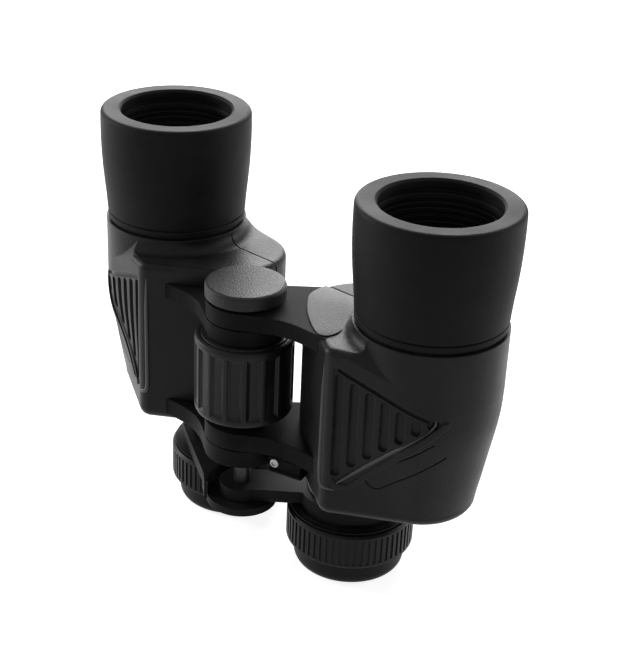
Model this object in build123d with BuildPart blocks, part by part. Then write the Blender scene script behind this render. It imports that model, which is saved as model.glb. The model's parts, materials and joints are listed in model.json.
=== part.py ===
"""Porro-prism binoculars, standing on the eyecups with the objective hoods up.

The hinge axis is vertical. +X is the right half, -Y the side of the grips and the
hinge, +Z the way the objectives look. Z = 0 is the plane of the eyecup rims, and the
origin is below the middle of the whole object. Millimetres and degrees.
"""
from build123d import *
from math import acos, asin, atan2, cos, degrees, hypot, radians, sin, sqrt
import os

os.makedirs("parts", exist_ok=True)

# ================================================================ driving sizes
# Optical layout, measured from the hinge axis
interpupillary = 62.3        # between the two eyepiece axes
eyepiece_back = 26.2         # eyepiece axes behind the hinge axis
objective_spacing = 123.8    # between the two objective axes
objective_back = 25.0        # objective axes behind the hinge axis

# Heights, stacked up from the eyecup rims
eyepiece_height = 40.0       # eyecup rims to the underside of the body
housing_height = 64.5        # underside of the body to the shoulder
collar_height = 5.6          # shoulder to the foot of the hood
hood_length = 42.0           # foot to rim of the hood

# Body: three upright rounds with a skin stretched about them
barrel_radius = 26.5         # about the objective axis
eye_end_radius = 21.0        # behind the eyepiece axis
eye_end_shift = 1.9          # centre of that round, outside the eyepiece axis
apex_radius = 5.0            # front corner
apex_reach = 17.9            # front of that corner, ahead of the fold axis
taper_height = 48.0          # height over which the barrel narrows to the underside
taper_slope = 0.17           # how much radius it loses per height
taper_blend = 16.0           # height over which the taper sets in
bottom_rounding = 4.2        # rounding of the underside's edge
crown_radius = 2.5           # rounding of the shoulder's edge
cove_radius = 4.5            # hollow between shoulder and barrel
armour_thickness = 2.2
housing_wall = 1.8
cover_gap = 0.1              # about the rear cover
cover_inset = 4.6            # edge of the rear cover inside the body's outline
flange_inset = 7.6           # edge of the opening behind the cover
seat = 0.02                  # gap between pieces that are fixed together
fine_edge = 0.3              # smallest rounding of an upright corner
running = 0.08               # radial gap between pieces that turn or slide

# Grip moulded in the armour
grip_turn = 32.0             # sketch plane of the grip, turned outwards
pocket_depth = 0.5
groove_depth = 1.6
groove_width = 3.2
groove_pitch = 5.35
groove_count = 7
edge_width = 1.5             # groove along the triangle's upper edge
edge_depth = 1.3
edge_offset = 1.0
ridge_height = 0.5           # ridge along the triangle's lower edge, above the armour
panel_length = 34.0          # blank panel below the triangle
panel_width = 7.4
panel_turn = 37.0
panel_line = 0.6             # width of the groove about it
panel_x = 27.5
panel_z = 26.5
seam_width = 0.5
seam_back = 28.3             # seam on the shoulder, behind the hinge axis

# Prisms
window_radius = 8.2          # windows in the prism shelf
prism_margin = 1.4           # prism face beyond the window
shelf_rise = 27.0            # shelf above the underside of the body
shelf_thickness = 4.0
prism_flat = 3.0             # width of the flat ground on each roof edge
prism_width = 16.0
strap = 0.5                  # thickness of the prism clips
strap_width = 2.6
clip_screw_radius = 0.9
clip_screw_depth = 1.8
screw_radius = 1.4
screw_length = 3.6           # of the cover screws inside their bosses
boss_radius = 2.9
boss_height = 4.8
cover_boss_reach = 11.0      # of the cover screws from the objective axis
cover_boss_angles = (-50, 50)

# Objective
objective_radius = 20.4
lens_depth = 19.0            # hood rim to the glass edge
hood_radius = 27.9
hood_foot_radius = 26.0
hood_mouth = 20.5
rim_depth = 3.0              # thickness of the rim over the tube
bead_height = 2.4            # bead at the foot of the hood
tube_radius = 24.3
relief_radius = 21.4         # bore of the tube in front of the lens

# Hinge, centre focus and cap
lug_radius = 13.9
upper_lug = 6.0              # height of each lug of the upper pair
lower_lug = 6.6              # height of each lug of the lower pair
lug_gap = 0.6                # room for the washer between two lugs
washer_thickness = 0.28
washer_radius = 12.0
bush_outer = 6.5
bush_inner = 4.6
bush_flange_radius = 9.0
flange_thickness = 1.5
wheel_radius = 17.7
wheel_height = 30.1
wheel_gap = 0.4              # above the wheel and below its foot
wheel_foot = 3.8             # height of the foot under the wheel
wheel_foot_radius = 9.0
wheel_rubber = 2.2
flute_count = 16
flute_depth = 1.1
flute_width = 3.6
flute_margin = 3.0           # plain band above and below the flutes
spindle_radius = 3.0
spindle_screw = 1.5
screw_head_radius = 5.3
screw_head_height = 2.2
cap_radius = 14.3
cap_height = 5.2
cap_gap = 1.1                # cap above the lug
cap_recess = 1.4             # depth of the recess that sits over the socket's flange
socket_radius = 3.175        # quarter inch tripod thread
socket_depth = 6.2

# Eyepieces and bridge
ocular_radius = 16.5         # outside of the ocular tube, where the rings sit
neck_radius = 12.5           # part of the tube that slides in the body
neck_height = 19.0
guide_length = 7.0           # sleeve of the rear cover about that neck
guide_step = 0.5             # sleeve's foot is thinner by this beside the armour
tube_wall = 2.0
collar_radius = 22.6
field_radius = 13.0          # field lens
field_thickness = 4.4
field_z = 23.6
stop_radius = 8.0
eye_lens_radius = 12.0
boss_outer = 18.0            # neck of the ribbed ring inside the eyecup
boss_bore = 15.4
boss_height_below = 5.0
cup_radius = 20.7
cup_height = 9.0
cup_mouth = 15.2
ring_radius = 23.7
ring_height = 13.7
band_height = 1.5            # plain bands above and below the ribs
rib_count = 60
rib_depth = 0.5
rib_width = 1.2
collar_gap = 0.6
collar_rise = 1.9
clamp_radius = 19.4
bridge_thickness = 4.8
hub_gap = 0.3
right_hub = 8.3
left_hub = 13.0
left_hub_thickness = 2.9
web_half = 7.0
riser_end = 16.0             # where the left arm has stepped up, from the hinge axis

# ================================================================ places
hinge_y = (wheel_radius - objective_back - hood_radius) / 2
eye = (interpupillary / 2, hinge_y + eyepiece_back)
objective = (objective_spacing / 2, hinge_y + objective_back)
fold_x = (eye[0] + objective[0]) / 2 + (objective[1] - eye[1]) / 2
fold_y = (eye[1] + objective[1]) / 2 - (objective[0] - eye[0]) / 2
shift = hypot(objective[0] - fold_x, objective[1] - fold_y)
prism_half = shift / 2 + window_radius + prism_margin

cover_z = eyepiece_height
floor_z = cover_z + armour_thickness
shoulder_z = cover_z + housing_height
foot_z = shoulder_z + collar_height
barrel_top = foot_z - 0.3
barrel_foot = shoulder_z - 16.0
rim_z = foot_z + hood_length
taper_z = cover_z + taper_height
core_skin = armour_thickness
cavity_skin = armour_thickness + housing_wall
cavity_z = shoulder_z - cavity_skin
shelf_z = cover_z + shelf_rise

right_upper_z = shoulder_z - upper_lug
left_upper_z = right_upper_z - lug_gap - upper_lug
wheel_top_z = left_upper_z - wheel_gap
wheel_z = wheel_top_z - wheel_height
right_lower_z = wheel_z - wheel_foot - wheel_gap - lower_lug
left_lower_z = right_lower_z - lug_gap - lower_lug
cap_z = shoulder_z + cap_gap
socket_top = cap_z + cap_recess - 0.4

ring_z = cup_height
collar_z = ring_z + ring_height + collar_gap
bridge_z = collar_z + collar_rise
bridge_top = bridge_z + bridge_thickness
left_hub_z = bridge_z - hub_gap - left_hub_thickness
neck_z = bridge_top + 0.4
cell_z = 6.5
cell_top = 20.0
tube_end = ring_z + 1.3
guide_outer = neck_radius + tube_wall
cell_radius = ocular_radius - tube_wall - running
clamp_bore = ocular_radius + seat
arm_length = hypot(eye[0], eyepiece_back)
arm_turn = degrees(atan2(eyepiece_back, eye[0]))

fold = (fold_x, fold_y)
rear_middle = ((objective[0] + fold_x) / 2, (objective[1] + fold_y) / 2)
front_middle = ((eye[0] + fold_x) / 2, (eye[1] + fold_y) / 2)
rear_turn = degrees(atan2(objective[1] - fold_y, objective[0] - fold_x))
hinge = (0, hinge_y)


def upright(place, height=0.0):
    """Horizontal sketch plane centred on a vertical axis."""
    return Plane((place[0], place[1], height))


def turning(place):
    """Sketch plane through a vertical axis: local X is the radius, local Y is height."""
    return Plane((place[0], place[1], 0), x_dir=(1, 0, 0), z_dir=(0, -1, 0))


def spin(place):
    """Turn the pending profile about a vertical axis."""
    revolve(axis=Axis((place[0], place[1], 0), (0, 0, 1)))


def finish(piece, name):
    """Label a finished piece and write it as its own STEP file."""
    piece.label = name
    export_step(piece, f"parts/{name}.step")


# ================================================================ body outline
def tangent_normal(first, second):
    """Direction in which the line that touches two rounds faces outwards."""
    run_x, run_y = second[0] - first[0], second[1] - first[1]
    lean = acos((first[2] - second[2]) / hypot(run_x, run_y))
    return degrees(atan2(run_y, run_x) - lean)


def on_round(circle, angle):
    """Point of a round (x, y, radius) in a direction."""
    x, y, radius = circle
    return (x + radius * cos(radians(angle)), y + radius * sin(radians(angle)))


def belt(circles):
    """Face inside a belt stretched anticlockwise about the rounds (x, y, radius)."""
    count = len(circles)
    facing = [tangent_normal(circles[i], circles[(i + 1) % count]) for i in range(count)]
    with BuildSketch() as face:
        with BuildLine():
            for i, circle in enumerate(circles):
                following = circles[(i + 1) % count]
                sweep_angle = (facing[i] - facing[i - 1]) % 360
                CenterArc(circle[:2], circle[2], facing[i - 1], sweep_angle)
                Line(on_round(circle, facing[i]), on_round(following, facing[i]))
        make_face()
    return face.sketch


eye_end = (eye[0] + eye_end_shift, objective[1], eye_end_radius)
apex = (fold_x, fold_y - apex_reach + apex_radius, apex_radius)
barrel = (objective[0], objective[1], barrel_radius)
wall_facing = tangent_normal(eye_end, apex)
front_facing = tangent_normal(apex, barrel)


def taper(height):
    """How much the barrel has narrowed at a height."""
    drop = max(taper_z - height, 0.0)
    if drop < taper_blend:
        return taper_slope * drop * drop / (2 * taper_blend)
    return taper_slope * (drop - taper_blend / 2)


def front_corner(skin):
    """Round of the front corner inset by a skin, never sharper than a fine edge."""
    radius = apex[2] - skin
    if radius >= fine_edge:
        return (apex[0], apex[1], radius)
    facing = radians((wall_facing + front_facing) / 2)
    half_angle = radians(90 - (front_facing - wall_facing) / 2)
    inwards = (fine_edge - radius) / sin(half_angle)
    return (apex[0] - inwards * cos(facing), apex[1] - inwards * sin(facing), fine_edge)


def body_outline(skin, height=taper_z):
    """Outline of the right body at a height, inset by a skin."""
    return belt([
        (eye_end[0], eye_end[1], eye_end[2] - skin),
        front_corner(skin),
        (barrel[0], barrel[1], barrel[2] - skin - taper(height)),
    ])


def body_form(skin, bottom, top, crown=0.0, rounding=0.0):
    """Body inset by a skin, narrowing downwards, with rounded upper and lower edges."""
    steps = 6
    side_foot = bottom + rounding
    with BuildPart() as form:
        for step in range(steps + 1):
            height = taper_z + (side_foot - taper_z) * step / steps
            with BuildSketch(Plane.XY.offset(height)):
                add(body_outline(skin, height))
        loft()
        if rounding:
            for step in range(steps + 1):
                angle = radians(90 * step / steps)
                inset = skin + rounding * (1 - cos(angle))
                with BuildSketch(Plane.XY.offset(side_foot - rounding * sin(angle))):
                    add(body_outline(inset, side_foot))
            loft()
        with BuildSketch(Plane.XY.offset(taper_z)):
            add(body_outline(skin))
        extrude(amount=top - taper_z)
        if crown:
            fillet(form.faces().sort_by(Axis.Z)[-1].edges(), crown)
    return form.part


# The shoulder falls away in a slanting facet between the front face and the barrel.
facet_point = on_round(barrel, front_facing + 10)
facet_plane = Plane(
    origin=(facet_point[0], facet_point[1], shoulder_z - 8.5),
    x_dir=(0.87, 0.49, 0),
    z_dir=(0.417, -0.752, 0.511),
)


def facet_cut(skin):
    """Everything above the slanting facet, less a skin; the barrel is put back after it."""
    with BuildPart() as cut:
        with BuildSketch(facet_plane.offset(-skin)):
            Rectangle(120, 60)
        extrude(amount=40)
    return cut.part


# ================================================================ hinge lugs
def hinge_arm(height, thickness):
    """Lug about the hinge axis with the web that joins it to the body."""
    leaving = -57.0
    lug = (0, hinge_y, lug_radius)
    start = on_round(lug, leaving)
    bend = (eye[0] - 2.0, hinge_y - 3.0)
    with BuildPart() as arm:
        with BuildSketch(Plane.XY.offset(height)):
            with Locations((0, hinge_y)):
                Circle(lug_radius)
            with BuildLine():
                Spline(
                    [start, bend],
                    tangents=[(-sin(radians(leaving)), cos(radians(leaving))), (1, 0)],
                )
                Polyline(
                    bend,
                    (fold_x - 6.0, bend[1]),
                    (fold_x - 6.0, objective[1]),
                    (eye_end[0] - eye_end_radius + 1.5, objective[1] + 2.0),
                    on_round(lug, 95),
                    (0, hinge_y),
                    start,
                )
            make_face()
        extrude(amount=thickness)
    return arm.part


# ================================================================ right housing
boss_places = [
    on_round((objective[0], objective[1], cover_boss_reach), angle)
    for angle in cover_boss_angles
]
boss_places.append((fold_x - 4.0, fold_y - 5.0))


def housing(upper_z, lower_z, bush_gap):
    """Hollow casting of the right side with a pair of lugs at the given heights."""
    with BuildPart() as casting:
        add(body_form(core_skin, floor_z, shoulder_z - core_skin, 0, bottom_rounding - core_skin))
        add(facet_cut(core_skin), mode=Mode.SUBTRACT)
        with BuildSketch(upright(objective, barrel_foot)):
            Circle(barrel_radius - core_skin)
        extrude(amount=barrel_top - barrel_foot)
        add(hinge_arm(upper_z, upper_lug))
        add(hinge_arm(lower_z, lower_lug))
        add(body_form(cavity_skin, floor_z + housing_wall, cavity_z), mode=Mode.SUBTRACT)
        with BuildSketch(Plane.XY.offset(floor_z)):
            add(body_outline(flange_inset, floor_z))
            with Locations(eye):
                Circle(guide_outer + running)
        extrude(amount=housing_wall, mode=Mode.SUBTRACT)
        with BuildSketch(upright(objective, cavity_z - 1)):
            Circle(objective_radius + 2.1)
        extrude(amount=30, mode=Mode.SUBTRACT)
        with BuildSketch(Plane.XY.offset(floor_z)):
            with Locations(*boss_places):
                Circle(boss_radius)
        extrude(amount=boss_height)
        with BuildSketch(Plane.XY.offset(floor_z)):
            with Locations(*boss_places):
                Circle(screw_radius + seat)
        extrude(amount=boss_height - 0.8, mode=Mode.SUBTRACT)
        for height, thickness in ((upper_z, upper_lug), (lower_z, lower_lug)):
            with BuildSketch(upright((0, hinge_y), height - 1)):
                Circle(bush_outer + bush_gap)
            extrude(amount=thickness + 2, mode=Mode.SUBTRACT)
    return casting.part


right_prism_housing = housing(right_upper_z, right_lower_z, seat)
finish(right_prism_housing, "right_prism_housing")


def mirrored(piece, name):
    """Write the mirror image of a right-hand piece as its left-hand twin."""
    with BuildPart() as twin:
        mirror(piece, about=Plane.YZ)
    finish(twin.part, name)


def both_sides(piece, name):
    """Write a right-hand piece and its mirror image."""
    finish(piece, "right_" + name)
    mirrored(piece, "left_" + name)


# Its own lugs sit one step lower and turn on the bushes.
mirrored(housing(left_upper_z, left_lower_z, running), "left_prism_housing")


# ================================================================ rubber armour
grip_front = on_round(apex, front_facing)
grip_plane = Plane(
    origin=(grip_front[0], grip_front[1], cover_z),
    x_dir=(cos(radians(grip_turn)), sin(radians(grip_turn)), 0),
    z_dir=(sin(radians(grip_turn)), -cos(radians(grip_turn)), 0),
)
# Corners of the triangular grip on that plane: upper, outer and lower
grip_upper = (0.4, housing_height - 5.0)
grip_outer = (39.0, housing_height - 19.5)
grip_lower = (1.6, 13.0)


def grip_edge(first, second, across):
    """Height of a slanting edge of the grip at a distance across it."""
    share = (across - first[0]) / (second[0] - first[0])
    return first[1] + share * (second[1] - first[1])


def engraving(outline, depth):
    """Cutter that sinks an outline on the grip plane to an even depth in the armour."""
    with BuildPart() as cutter:
        with BuildSketch(grip_plane):
            add(outline)
        extrude(amount=20, both=True)
        add(body_form(depth, cover_z, shoulder_z - crown_radius), mode=Mode.SUBTRACT)
    return cutter.part


with BuildSketch() as grip_field:
    with BuildLine():
        Polyline(grip_upper, grip_lower, grip_outer, close=True)
    make_face()
    fillet(grip_field.vertices(), 1.6)

with BuildSketch() as grip_grooves:
    for index in range(groove_count):
        across = 2.6 + groove_pitch * index
        top = grip_edge(grip_upper, grip_outer, across) - 2.4
        bottom = grip_edge(grip_lower, grip_outer, across) + 3.0
        length = max(top - bottom, groove_width + 0.6)
        with Locations((across, (top + bottom) / 2)):
            SlotOverall(length, groove_width, rotation=90)

# Groove along the upper edge of the triangle
with BuildSketch() as edge_groove:
    edge_run = (grip_outer[0] - grip_upper[0], grip_outer[1] - grip_upper[1])
    edge_turn = degrees(atan2(edge_run[1], edge_run[0]))
    with Locations((
        (grip_upper[0] + grip_outer[0]) / 2 + edge_offset * sin(radians(edge_turn)),
        (grip_upper[1] + grip_outer[1]) / 2 - edge_offset * cos(radians(edge_turn)),
    )):
        SlotOverall(hypot(*edge_run) - 4.0, edge_width, rotation=edge_turn)

# Outline of a blank panel, open at its outer end
with BuildSketch() as blank_panel:
    with Locations((panel_x, panel_z)):
        SlotOverall(panel_length, panel_width, rotation=panel_turn)
        SlotOverall(
            panel_length - 2 * panel_line, panel_width - 2 * panel_line,
            rotation=panel_turn, mode=Mode.SUBTRACT,
        )
    with Locations((
        panel_x + panel_length / 2 * cos(radians(panel_turn)),
        panel_z + panel_length / 2 * sin(radians(panel_turn)),
    )):
        Rectangle(8, 2 * panel_width, rotation=panel_turn, mode=Mode.SUBTRACT)

# Raised ridge along the lower edge of the triangle and a step at its foot
with BuildPart() as ridge_form:
    with BuildSketch(grip_plane):
        with BuildLine():
            Polyline(
                (grip_lower[0] + 1.0, grip_lower[1] - 0.6),
                (grip_lower[0] + 6.0, grip_lower[1] - 0.6),
                (grip_outer[0] + 1.0, grip_outer[1] - 1.2),
                (grip_outer[0] + 1.0, grip_outer[1] + 0.6),
                (grip_outer[0] - 0.8, grip_outer[1] + 0.4),
                (grip_lower[0] + 5.4, grip_lower[1] + 1.4),
                (grip_lower[0] + 1.0, grip_lower[1] + 1.4),
                close=True,
            )
        make_face()
    extrude(amount=20, both=True)
    add(body_form(-ridge_height, cover_z, shoulder_z - crown_radius), mode=Mode.INTERSECT)
    add(body_form(1.0, cover_z, shoulder_z - crown_radius), mode=Mode.SUBTRACT)
grip_ridge = ridge_form.part


def crown_outline():
    """Flat top of the shoulder inside its rounded edge, with the barrel's full round."""
    return belt([
        (eye_end[0], eye_end[1], eye_end[2] - crown_radius),
        front_corner(crown_radius),
        barrel,
    ])


with BuildPart() as cove:
    with BuildSketch(turning(objective)):
        with BuildLine():
            CenterArc(
                (barrel_radius + cove_radius, shoulder_z + cove_radius), cove_radius, 180, 90
            )
            Polyline(
                (barrel_radius + cove_radius, shoulder_z),
                (barrel_radius + cove_radius, shoulder_z - 0.5),
                (barrel_radius - 0.5, shoulder_z - 0.5),
                (barrel_radius - 0.5, shoulder_z + cove_radius),
                (barrel_radius, shoulder_z + cove_radius),
            )
        make_face()
    spin(objective)
    with BuildSketch(Plane.XY.offset(shoulder_z - 1)):
        add(crown_outline())
    extrude(amount=cove_radius + 2, mode=Mode.INTERSECT)

with BuildPart() as seam:
    seam_start = eye_end[0] - eye_end_radius - 1
    seam_end = objective[0] - barrel_radius + 2
    with BuildSketch(Plane.XY.offset(right_upper_z - 8)):
        with Locations(((seam_start + seam_end) / 2, hinge_y + seam_back)):
            Rectangle(seam_end - seam_start, seam_width)
    extrude(amount=upper_lug + 8 + cove_radius)
    add(body_form(seam_width, cover_z, shoulder_z - seam_width), mode=Mode.SUBTRACT)
    with BuildSketch(upright(objective, cover_z)):
        Circle(barrel_radius - seam_width)
    extrude(amount=rim_z, mode=Mode.SUBTRACT)


def armour(upper_z, lower_z):
    """Rubber skin over the right housing, open where the hinge arms leave it."""
    inner_skin = core_skin - seat
    with BuildPart() as core:
        add(body_form(
            inner_skin, cover_z + inner_skin, shoulder_z - inner_skin, 0, bottom_rounding - core_skin
        ))
        add(facet_cut(inner_skin), mode=Mode.SUBTRACT)
        with BuildSketch(upright(objective, barrel_foot)):
            Circle(barrel_radius - inner_skin)
        extrude(amount=foot_z - barrel_foot)
        add(hinge_arm(upper_z - seat, upper_lug + 2 * seat))
        add(hinge_arm(lower_z - seat, lower_lug + 2 * seat))
    with BuildPart() as skin:
        add(body_form(0, cover_z, shoulder_z, crown_radius, bottom_rounding))
        add(cove.part)
        add(facet_cut(0), mode=Mode.SUBTRACT)
        with BuildSketch(upright(objective, barrel_foot)):
            Circle(barrel_radius)
        extrude(amount=barrel_top - barrel_foot)
        add(core.part, mode=Mode.SUBTRACT)
        add(engraving(grip_field.sketch, pocket_depth), mode=Mode.SUBTRACT)
        add(engraving(grip_grooves.sketch, groove_depth), mode=Mode.SUBTRACT)
        add(engraving(edge_groove.sketch, edge_depth), mode=Mode.SUBTRACT)
        add(engraving(blank_panel.sketch, pocket_depth), mode=Mode.SUBTRACT)
        add(seam.part, mode=Mode.SUBTRACT)
        with BuildSketch(Plane.XY.offset(cover_z)):
            add(body_outline(cover_inset - cover_gap, cover_z + bottom_rounding))
        extrude(amount=armour_thickness, mode=Mode.SUBTRACT)
        add(grip_ridge)
    return skin.part


finish(armour(right_upper_z, right_lower_z), "right_armour")
mirrored(armour(left_upper_z, left_lower_z), "left_armour")


# ================================================================ shared shapes
def ring(place, outer, inner, bottom, top):
    """Plain ring about a vertical axis."""
    with BuildPart() as piece:
        with BuildSketch(upright(place, bottom)):
            Circle(outer)
            Circle(inner, mode=Mode.SUBTRACT)
        extrude(amount=top - bottom)
    return piece.part


def turned(place, profile):
    """Piece turned about a vertical axis from (radius, height) corners."""
    with BuildPart() as piece:
        with BuildSketch(turning(place)):
            with BuildLine():
                Polyline(profile, close=True)
            make_face()
        spin(place)
    return piece.part


def cap_height_at(radius, sag, across):
    """Height of a spherical cap above its rim, at a distance from its axis."""
    ball = (radius * radius + sag * sag) / (2 * sag)
    side = 1 if sag > 0 else -1
    return side * sqrt(ball * ball - across * across) - (ball - sag)


def lens(place, radius, bottom, top, bottom_sag, top_sag):
    """Round lens: edge between two heights, sags of its faces positive upwards."""
    half = radius / 2
    low = (half, bottom + cap_height_at(radius, bottom_sag, half))
    high = (half, top + cap_height_at(radius, top_sag, half))
    with BuildPart() as piece:
        with BuildSketch(turning(place)):
            with BuildLine():
                ThreePointArc((0, bottom + bottom_sag), low, (radius, bottom))
                Line((radius, bottom), (radius, top))
                ThreePointArc((radius, top), high, (0, top + top_sag))
                Line((0, top + top_sag), (0, bottom + bottom_sag))
            make_face()
        spin(place)
    return piece.part


# ================================================================ rear cover
with BuildPart() as prism_cover:
    with BuildSketch(Plane.XY.offset(cover_z)):
        add(body_outline(cover_inset, cover_z + bottom_rounding))
    extrude(amount=armour_thickness - seat)
    with BuildSketch(upright(eye, cover_z)):
        Circle(guide_outer - guide_step)
    extrude(amount=guide_length)
    with BuildSketch(upright(eye, floor_z)):
        Circle(guide_outer)
    extrude(amount=guide_length - armour_thickness)
    with BuildSketch(upright(eye, cover_z)):
        Circle(neck_radius + running)
    extrude(amount=guide_length, mode=Mode.SUBTRACT)
    with Locations(*[Location((x, y, cover_z), (180, 0, 0)) for x, y in boss_places]):
        CounterSinkHole(screw_radius + 0.1, screw_radius + 1.3, depth=armour_thickness)
both_sides(prism_cover.part, "prism_cover")

with BuildPart() as cover_screws:
    for x, y in boss_places:
        add(turned((x, y), [
            (0, cover_z + 0.1),
            (screw_radius + 1.1, cover_z + 0.1),
            (screw_radius, cover_z + 1.2),
            (screw_radius, floor_z + screw_length),
            (0, floor_z + screw_length),
        ]))
        with BuildSketch(upright((x, y), cover_z)):
            Rectangle(2.2, 0.5)
            Rectangle(0.5, 2.2)
        extrude(amount=0.8, mode=Mode.SUBTRACT)
both_sides(cover_screws.part, "cover_screws")

# ================================================================ prisms
clip_reach = prism_width / 2 + 2.4
clip_places = [
    (middle, turn + 90, side)
    for middle, turn, side in (
        (rear_middle, rear_turn, -1),
        (front_middle, rear_turn - 90, 1),
    )
]
foot_places = [
    (middle[0] + sign * clip_reach * cos(radians(turn)),
     middle[1] + sign * clip_reach * sin(radians(turn)))
    for middle, turn, side in clip_places
    for sign in (-1, 1)
]

with BuildPart() as prism_shelf:
    add(body_form(cavity_skin + seat, cover_z, cavity_z))
    split(bisect_by=Plane.XY.offset(shelf_z), keep=Keep.TOP)
    split(bisect_by=Plane.XY.offset(shelf_z + shelf_thickness), keep=Keep.BOTTOM)
    with BuildSketch(Plane.XY.offset(shelf_z)):
        with Locations(objective, fold, eye):
            Circle(window_radius)
    extrude(amount=shelf_thickness, mode=Mode.SUBTRACT)
    for places, base, sink in (
        (foot_places[:2], shelf_z, clip_screw_depth),
        (foot_places[2:], shelf_z + shelf_thickness, -clip_screw_depth),
    ):
        with BuildSketch(Plane.XY.offset(base)):
            with Locations(*places):
                Circle(clip_screw_radius + seat)
        extrude(amount=sink, mode=Mode.SUBTRACT)
both_sides(prism_shelf.part, "prism_shelf")


def prism_profile(skin):
    """Triangle of a prism grown by a skin, long side on the local X axis, roof up."""
    half = prism_half + skin * 1.414
    blunt = prism_flat / 2 + skin * 0.414
    with BuildSketch() as face:
        with BuildLine():
            Polyline(
                (-half, 0),
                (half, 0),
                (blunt, half - blunt),
                (-blunt, half - blunt),
                close=True,
            )
        make_face()
    return face.sketch


def prism(middle, turn, side):
    """Right-angled prism on the shelf, its roof below (side -1) or above (side 1)."""
    base = shelf_z if side < 0 else shelf_z + shelf_thickness
    along = (cos(radians(turn)), sin(radians(turn)), 0)
    face_plane = Plane(
        origin=(middle[0], middle[1], base + side * seat),
        x_dir=along,
        z_dir=(side * along[1], -side * along[0], 0),
    )
    with BuildPart() as block:
        with BuildSketch(face_plane):
            add(prism_profile(0))
            with Locations((0, 0)):
                Rectangle(1.0, 2.0, mode=Mode.SUBTRACT)
        extrude(amount=prism_width / 2, both=True)
    return block.part


both_sides(prism(rear_middle, rear_turn, -1), "rear_prism")
both_sides(prism(front_middle, rear_turn - 90, 1), "front_prism")

# Sprung straps pass over the blunt roof edge and down both sides to the shelf.
with BuildPart() as prism_clips:
    roof = prism_half - prism_flat / 2 + 2 * seat
    half = prism_width / 2 + 2 * seat
    for middle, turn, side in clip_places:
        base = shelf_z if side < 0 else shelf_z + shelf_thickness
        strap_plane = Plane(
            origin=(middle[0], middle[1], base + side * seat),
            x_dir=(cos(radians(turn)), sin(radians(turn)), 0),
            z_dir=(side * sin(radians(turn)), -side * cos(radians(turn)), 0),
        )
        with BuildSketch(strap_plane):
            with BuildLine():
                Polyline(
                    (half, 0),
                    (half + 4.6, 0),
                    (half + 4.6, strap),
                    (half + strap, strap),
                    (half + strap, roof + strap),
                    (-half - strap, roof + strap),
                    (-half - strap, strap),
                    (-half - 4.6, strap),
                    (-half - 4.6, 0),
                    (-half, 0),
                    (-half, roof),
                    (half, roof),
                    close=True,
                )
            make_face()
        extrude(amount=strap_width / 2, both=True)
    with BuildSketch(Plane.XY.offset(shelf_z - 1)):
        with Locations(*foot_places):
            Circle(clip_screw_radius + seat)
    extrude(amount=shelf_thickness + 2, mode=Mode.SUBTRACT)
both_sides(prism_clips.part, "prism_clips")

with BuildPart() as clip_screws:
    for index, (x, y) in enumerate(foot_places):
        side = -1 if index < 2 else 1
        outer_face = shelf_z if side < 0 else shelf_z + shelf_thickness
        head = outer_face + side * (strap + 2 * seat)
        add(turned((x, y), [
            (0, head + side * 1.1),
            (1.1, head + side * 1.1),
            (1.6, head + side * 0.7),
            (1.6, head),
            (clip_screw_radius, head),
            (clip_screw_radius, outer_face - side * (clip_screw_depth - 0.05)),
            (0, outer_face - side * (clip_screw_depth - 0.05)),
        ]))
both_sides(clip_screws.part, "clip_screws")

# ================================================================ objectives
lens_z = rim_z - lens_depth
lens_foot = lens_z - 9.0
tube_top = rim_z - 3.0

objective_tube = turned(objective, [
    (relief_radius, tube_top),
    (tube_radius, tube_top),
    (tube_radius, foot_z - 0.28),
    (objective_radius + 2.1 - seat, foot_z - 0.28),
    (objective_radius + 2.1 - seat, cavity_z + 0.5),
    (objective_radius - 0.8, cavity_z + 0.5),
    (objective_radius - 0.8, lens_foot - seat),
    (objective_radius + seat, lens_foot - seat),
    (objective_radius + seat, lens_z + 1.8),
    (relief_radius, lens_z + 1.8),
])

both_sides(objective_tube, "objective_tube")

interface_z = lens_foot + 4.0
both_sides(
    lens(objective, objective_radius, lens_foot, interface_z - seat, 0.3, -1.6),
    "objective_flint",
)
both_sides(
    lens(objective, objective_radius, interface_z, lens_z - 1.6, -1.6, 1.6),
    "objective_crown",
)
both_sides(
    ring(objective, objective_radius, objective_radius - 0.8, lens_z - 1.45, lens_z + 1.6),
    "lens_retainer",
)

# The hood flares to the rim above a bead between two grooves at its foot.
with BuildPart() as objective_hood:
    with BuildSketch(turning(objective)):
        with BuildLine():
            bead_z = foot_z + 0.6
            Polyline(
                (hood_mouth, rim_z - rim_depth),
                (hood_mouth, rim_z - 0.8),
                (hood_mouth + 0.8, rim_z),
                (hood_radius - 1.6, rim_z),
            )
            ThreePointArc(
                (hood_radius - 1.6, rim_z),
                (hood_radius - 0.47, rim_z - 0.47),
                (hood_radius, rim_z - 1.6),
            )
            Spline(
                (hood_radius, rim_z - 1.6),
                (hood_radius - 0.75, foot_z + 0.4 * hood_length),
                (hood_foot_radius, bead_z + bead_height + 0.6),
                tangents=((0.03, -1), (-0.05, -1)),
            )
            Polyline(
                (hood_foot_radius, bead_z + bead_height + 0.6),
                (hood_foot_radius - 0.7, bead_z + bead_height + 0.5),
                (hood_foot_radius - 0.7, bead_z + bead_height),
                (hood_foot_radius - 0.1, bead_z + bead_height - 0.3),
                (hood_foot_radius - 0.1, bead_z + 0.3),
                (hood_foot_radius - 0.7, bead_z),
                (hood_foot_radius - 0.7, foot_z),
                (tube_radius + seat, foot_z),
                (tube_radius + seat, rim_z - rim_depth),
                (hood_mouth, rim_z - rim_depth),
            )
        make_face()
    spin(objective)
both_sides(objective_hood.part, "objective_hood")

# ================================================================ main hinge
bush_top = shoulder_z - seat
upper_bush_z = left_upper_z + 0.1
finish(ring(hinge, bush_outer, bush_inner, upper_bush_z, bush_top), "upper_bush")

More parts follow.
